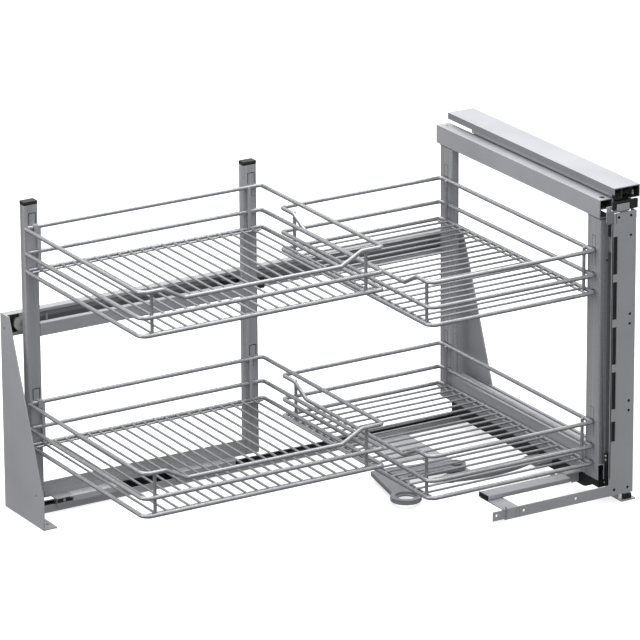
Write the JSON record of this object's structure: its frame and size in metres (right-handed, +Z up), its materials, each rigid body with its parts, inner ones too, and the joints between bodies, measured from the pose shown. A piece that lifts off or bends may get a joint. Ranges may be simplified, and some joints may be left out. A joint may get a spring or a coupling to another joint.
{
  "type": "pull out cabinet basket",
  "caption": "Corner-cabinet pull-out: a front frame with two wire baskets slides out on runners, and a rear carriage with two wire baskets rolls sideways on rails.",
  "frame": {"origin": "on the cabinet floor, under the middle of the whole outline with the baskets pushed in", "axes": "+X to the right seen from the door, +Y to the back of the cabinet, +Z up; the door column stands at -Y"},
  "size_m": [0.864, 0.503, 0.522],
  "materials": {
    "grey_coated_steel": "fine silver-grey powder coat, satin",
    "light_coated_wire": "smooth light silver coat on wire, satin",
    "zinc_plated_steel": "zinc plated, semi-bright",
    "black_plastic": "moulded, fine grain",
    "white_plastic": "moulded, smooth",
    "grey_plastic": "moulded, satin"
  },
  "bodies": {
    "fixed_frame": {"left_bracket": "grey_coated_steel", "left_foot_flange": "grey_coated_steel", "right_bracket": "grey_coated_steel", "right_foot_flange": "grey_coated_steel", "rear_top_rail": "grey_coated_steel", "rear_rail_tracks": "grey_coated_steel", "rear_rail_lips": "grey_coated_steel", "rear_floor_rail": "grey_coated_steel", "floor_rail_walls": "grey_coated_steel", "track_liner": "black_plastic", "rail_screws": "white_plastic", "top_cover": "grey_coated_steel", "top_runner_outer": "zinc_plated_steel", "bottom_runner_outer": "zinc_plated_steel", "runner_floor_angle": "grey_coated_steel", "front_bumper": "black_plastic", "lever_base_plate": "grey_coated_steel", "lever_pivot_pin": "zinc_plated_steel"},
    "top_middle_member": {"top_runner_middle": "zinc_plated_steel"},
    "bottom_middle_member": {"bottom_runner_middle": "zinc_plated_steel"},
    "front_frame": {"frame_top_rail": "grey_coated_steel", "frame_rear_post": "grey_coated_steel", "frame_front_post": "grey_coated_steel", "frame_bottom_rail": "grey_coated_steel", "frame_glide_strip": "black_plastic", "top_runner_inner": "zinc_plated_steel", "bottom_runner_inner": "zinc_plated_steel", "upper_front_rim": "light_coated_wire", "upper_front_floor": "light_coated_wire", "lower_front_rim": "light_coated_wire", "lower_front_floor": "light_coated_wire", "front_hangers": "grey_coated_steel", "door_column": "grey_coated_steel", "column_spacers": "grey_coated_steel", "column_top_guide": "black_plastic", "column_hanger_plate": "grey_coated_steel", "door_bar": "grey_coated_steel", "bar_screws": "zinc_plated_steel", "bar_bracket": "grey_coated_steel", "cross_tube": "grey_coated_steel", "cross_tube_cap": "black_plastic", "tube_end_plate": "grey_coated_steel", "drag_arm": "grey_plastic"},
    "rear_carriage": {"carriage_left_post": "grey_coated_steel", "carriage_right_post": "grey_coated_steel", "post_caps": "black_plastic", "carriage_top_beam": "grey_coated_steel", "carriage_floor_beam": "grey_coated_steel", "upper_rear_rim": "light_coated_wire", "upper_rear_floor": "light_coated_wire", "lower_rear_rim": "light_coated_wire", "lower_rear_floor": "light_coated_wire", "rear_hangers": "grey_coated_steel", "roller_axles": "zinc_plated_steel", "catch_block": "black_plastic"},
    "left_top_wheel": {"left_top_roller": "white_plastic"},
    "right_top_wheel": {"right_top_roller": "white_plastic"},
    "left_floor_wheel": {"left_floor_roller": "white_plastic"},
    "right_floor_wheel": {"right_floor_roller": "white_plastic"},
    "lever": {"swing_lever": "grey_plastic"}
  },
  "joints": [
    {"name": "frame_slide", "type": "slide", "parent": "fixed_frame", "child": "front_frame", "axis": [0, -1, 0], "range_m": [0, 0.4]},
    {"name": "top_runner_slide", "type": "slide", "parent": "fixed_frame", "child": "top_middle_member", "axis": [0, -1, 0], "range_m": [0, 0.2]},
    {"name": "bottom_runner_slide", "type": "slide", "parent": "fixed_frame", "child": "bottom_middle_member", "axis": [0, -1, 0], "range_m": [0, 0.2]},
    {"name": "carriage_slide", "type": "slide", "parent": "fixed_frame", "child": "rear_carriage", "axis": [1, 0, 0], "range_m": [0, 0.04]},
    {"name": "left_top_roller_spin", "type": "hinge", "parent": "rear_carriage", "child": "left_top_wheel", "pos_m": [-0.3985, 0.242, 0.3043], "axis": [0, 1, 0], "range_deg": [0, 150]},
    {"name": "right_top_roller_spin", "type": "hinge", "parent": "rear_carriage", "child": "right_top_wheel", "pos_m": [-0.007, 0.242, 0.3043], "axis": [0, 1, 0], "range_deg": [0, 150]},
    {"name": "left_floor_roller_spin", "type": "hinge", "parent": "rear_carriage", "child": "left_floor_wheel", "pos_m": [-0.359, 0.203, 0.0113], "axis": [0, 1, 0], "range_deg": [0, 355]},
    {"name": "right_floor_roller_spin", "type": "hinge", "parent": "rear_carriage", "child": "right_floor_wheel", "pos_m": [-0.079, 0.203, 0.0113], "axis": [0, 1, 0], "range_deg": [0, 355]},
    {"name": "lever_swing", "type": "hinge", "parent": "fixed_frame", "child": "lever", "pos_m": [0.2555, 0.0073, 0.01], "axis": [0, 0, 1], "range_deg": [-25, 15]}
  ],
  "couplings": [
    {"joint": "top_runner_slide", "follows": "frame_slide", "ratio": 0.5},
    {"joint": "bottom_runner_slide", "follows": "frame_slide", "ratio": 0.5},
    {"joint": "left_top_roller_spin", "follows": "carriage_slide", "rad_per_m": 64.516},
    {"joint": "right_top_roller_spin", "follows": "carriage_slide", "rad_per_m": 64.516},
    {"joint": "left_floor_roller_spin", "follows": "carriage_slide", "rad_per_m": 153.85},
    {"joint": "right_floor_roller_spin", "follows": "carriage_slide", "rad_per_m": 153.85}
  ]
}
